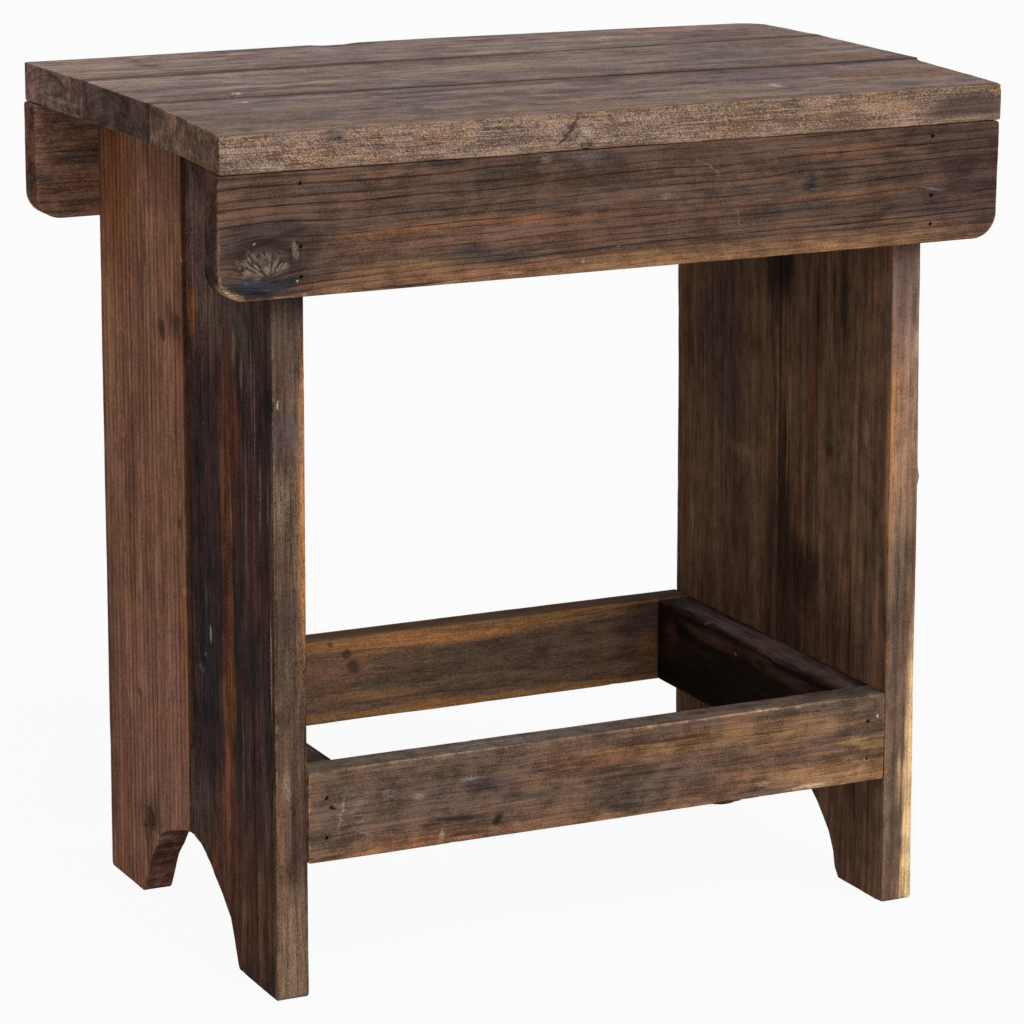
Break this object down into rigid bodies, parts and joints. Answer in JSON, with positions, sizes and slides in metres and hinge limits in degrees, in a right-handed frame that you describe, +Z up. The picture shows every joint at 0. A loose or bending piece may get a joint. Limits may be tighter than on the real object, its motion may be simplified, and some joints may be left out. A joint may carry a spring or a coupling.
{
  "type": "stool",
  "caption": "Rustic wooden stool of reclaimed boards: a plank top on deep aprons and slab legs with arched feet, braced by a low frame.",
  "frame": {"origin": "on the floor, under the middle of the whole outline", "axes": "+X along the stool's length to its right end, +Y from front to back, +Z up from the floor to the top"},
  "size_m": [0.45, 0.276, 0.451],
  "materials": {
    "top_wood": "dry, worn, lightly sanded",
    "apron_wood": "old stain, worn satin",
    "red_leg_wood": "old red-brown stain, worn satin",
    "dark_leg_wood": "old dark stain, worn satin",
    "frame_wood": "dry, grey-brown, worn",
    "dowel_wood": "bare",
    "fixing_steel": "dull, darkened"
  },
  "bodies": {
    "root": {"top_board_back": "top_wood", "top_board_middle": "top_wood", "top_board_front": "top_wood", "apron_front": "apron_wood", "apron_back": "apron_wood", "leg_left_front_board": "dark_leg_wood", "leg_left_rear_board": "red_leg_wood", "leg_right_front_board": "dark_leg_wood", "leg_right_rear_board": "dark_leg_wood", "stretcher_front": "frame_wood", "stretcher_back": "frame_wood", "side_rail_left": "frame_wood", "side_rail_right": "frame_wood", "top_board_nails": "fixing_steel", "apron_nails": "fixing_steel", "stretcher_nails": "fixing_steel", "rail_nails": "fixing_steel", "leg_joint_dowels": "dowel_wood"}
  },
  "joints": []
}
